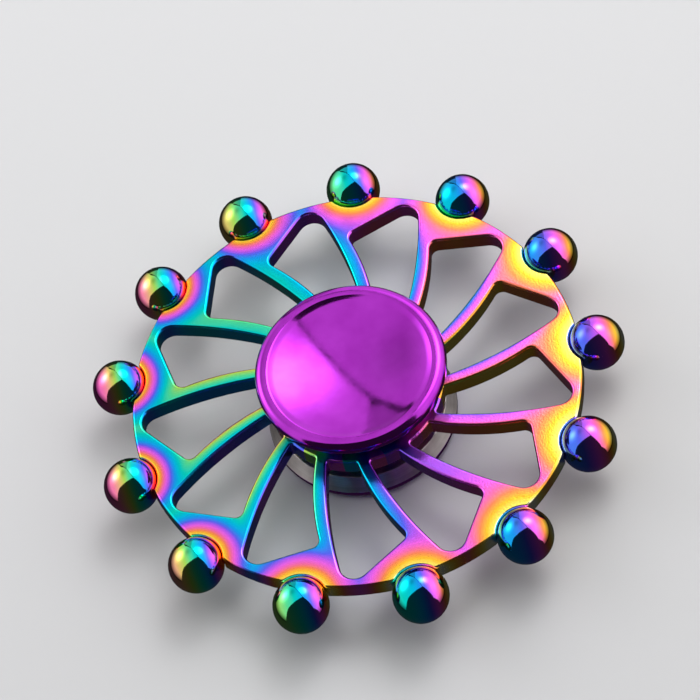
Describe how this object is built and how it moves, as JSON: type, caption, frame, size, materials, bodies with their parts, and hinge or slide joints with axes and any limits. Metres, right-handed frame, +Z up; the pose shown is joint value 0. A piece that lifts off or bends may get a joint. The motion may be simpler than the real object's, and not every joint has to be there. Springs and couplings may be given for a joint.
{
  "type": "fidget spinner",
  "caption": "Wheel-shaped metal fidget spinner in an iridescent rainbow finish, with steel balls round its rim and purple finger caps over a caged ball bearing.",
  "frame": {"origin": "centre of the plane that the bottom cap's rim rests on, on the spin axis", "axes": "+Z up along the spin axis, towards the top cap; +Y towards weight_ball_01; +X to the right of that seen from above"},
  "size_m": [0.0614, 0.0611, 0.0115],
  "materials": {
    "wheel_rainbow": "gloss",
    "ball_rainbow": "polished",
    "cap_purple": "polished",
    "bearing_steel": "polished",
    "cage_steel": "satin"
  },
  "bodies": {
    "caps": {"top_cap": "cap_purple", "bottom_cap": "cap_purple", "bearing_inner_race": "bearing_steel"},
    "wheel": {"wheel_frame": "wheel_rainbow", "weight_ball_01": "ball_rainbow", "weight_ball_02": "ball_rainbow", "weight_ball_03": "ball_rainbow", "weight_ball_04": "ball_rainbow", "weight_ball_05": "ball_rainbow", "weight_ball_06": "ball_rainbow", "weight_ball_07": "ball_rainbow", "weight_ball_08": "ball_rainbow", "weight_ball_09": "ball_rainbow", "weight_ball_10": "ball_rainbow", "weight_ball_11": "ball_rainbow", "weight_ball_12": "ball_rainbow", "weight_ball_13": "ball_rainbow", "bearing_outer_race": "bearing_steel"},
    "cage": {"bearing_cage": "cage_steel"},
    "roller_01": {"bearing_ball_01": "bearing_steel"},
    "roller_02": {"bearing_ball_02": "bearing_steel"},
    "roller_03": {"bearing_ball_03": "bearing_steel"},
    "roller_04": {"bearing_ball_04": "bearing_steel"},
    "roller_05": {"bearing_ball_05": "bearing_steel"},
    "roller_06": {"bearing_ball_06": "bearing_steel"},
    "roller_07": {"bearing_ball_07": "bearing_steel"},
    "roller_08": {"bearing_ball_08": "bearing_steel"},
    "roller_09": {"bearing_ball_09": "bearing_steel"},
    "roller_10": {"bearing_ball_10": "bearing_steel"}
  },
  "joints": [
    {"name": "wheel_spin", "type": "hinge", "parent": "caps", "child": "wheel", "pos_m": [0, 0, 0.00575], "axis": [0, 0, 1], "continuous": true},
    {"name": "cage_orbit", "type": "hinge", "parent": "caps", "child": "cage", "pos_m": [0, 0, 0.00575], "axis": [0, 0, 1], "continuous": true},
    {"name": "ball_roll_01", "type": "hinge", "parent": "cage", "child": "roller_01", "pos_m": [0, 0.00476, 0.00575], "axis": [0, 0, 1], "continuous": true},
    {"name": "ball_roll_02", "type": "hinge", "parent": "cage", "child": "roller_02", "pos_m": [0.0028, 0.00385, 0.00575], "axis": [0, 0, 1], "continuous": true},
    {"name": "ball_roll_03", "type": "hinge", "parent": "cage", "child": "roller_03", "pos_m": [0.00453, 0.00147, 0.00575], "axis": [0, 0, 1], "continuous": true},
    {"name": "ball_roll_04", "type": "hinge", "parent": "cage", "child": "roller_04", "pos_m": [0.00453, -0.00147, 0.00575], "axis": [0, 0, 1], "continuous": true},
    {"name": "ball_roll_05", "type": "hinge", "parent": "cage", "child": "roller_05", "pos_m": [0.0028, -0.00385, 0.00575], "axis": [0, 0, 1], "continuous": true},
    {"name": "ball_roll_06", "type": "hinge", "parent": "cage", "child": "roller_06", "pos_m": [0, -0.00476, 0.00575], "axis": [0, 0, 1], "continuous": true},
    {"name": "ball_roll_07", "type": "hinge", "parent": "cage", "child": "roller_07", "pos_m": [-0.0028, -0.00385, 0.00575], "axis": [0, 0, 1], "continuous": true},
    {"name": "ball_roll_08", "type": "hinge", "parent": "cage", "child": "roller_08", "pos_m": [-0.00453, -0.00147, 0.00575], "axis": [0, 0, 1], "continuous": true},
    {"name": "ball_roll_09", "type": "hinge", "parent": "cage", "child": "roller_09", "pos_m": [-0.00453, 0.00147, 0.00575], "axis": [0, 0, 1], "continuous": true},
    {"name": "ball_roll_10", "type": "hinge", "parent": "cage", "child": "roller_10", "pos_m": [-0.0028, 0.00385, 0.00575], "axis": [0, 0, 1], "continuous": true}
  ],
  "couplings": [
    {"joint": "cage_orbit", "follows": "wheel_spin", "ratio": 0.58333},
    {"joint": "ball_roll_01", "follows": "wheel_spin", "ratio": 2.9167},
    {"joint": "ball_roll_02", "follows": "wheel_spin", "ratio": 2.9167},
    {"joint": "ball_roll_03", "follows": "wheel_spin", "ratio": 2.9167},
    {"joint": "ball_roll_04", "follows": "wheel_spin", "ratio": 2.9167},
    {"joint": "ball_roll_05", "follows": "wheel_spin", "ratio": 2.9167},
    {"joint": "ball_roll_06", "follows": "wheel_spin", "ratio": 2.9167},
    {"joint": "ball_roll_07", "follows": "wheel_spin", "ratio": 2.9167},
    {"joint": "ball_roll_08", "follows": "wheel_spin", "ratio": 2.9167},
    {"joint": "ball_roll_09", "follows": "wheel_spin", "ratio": 2.9167},
    {"joint": "ball_roll_10", "follows": "wheel_spin", "ratio": 2.9167}
  ]
}
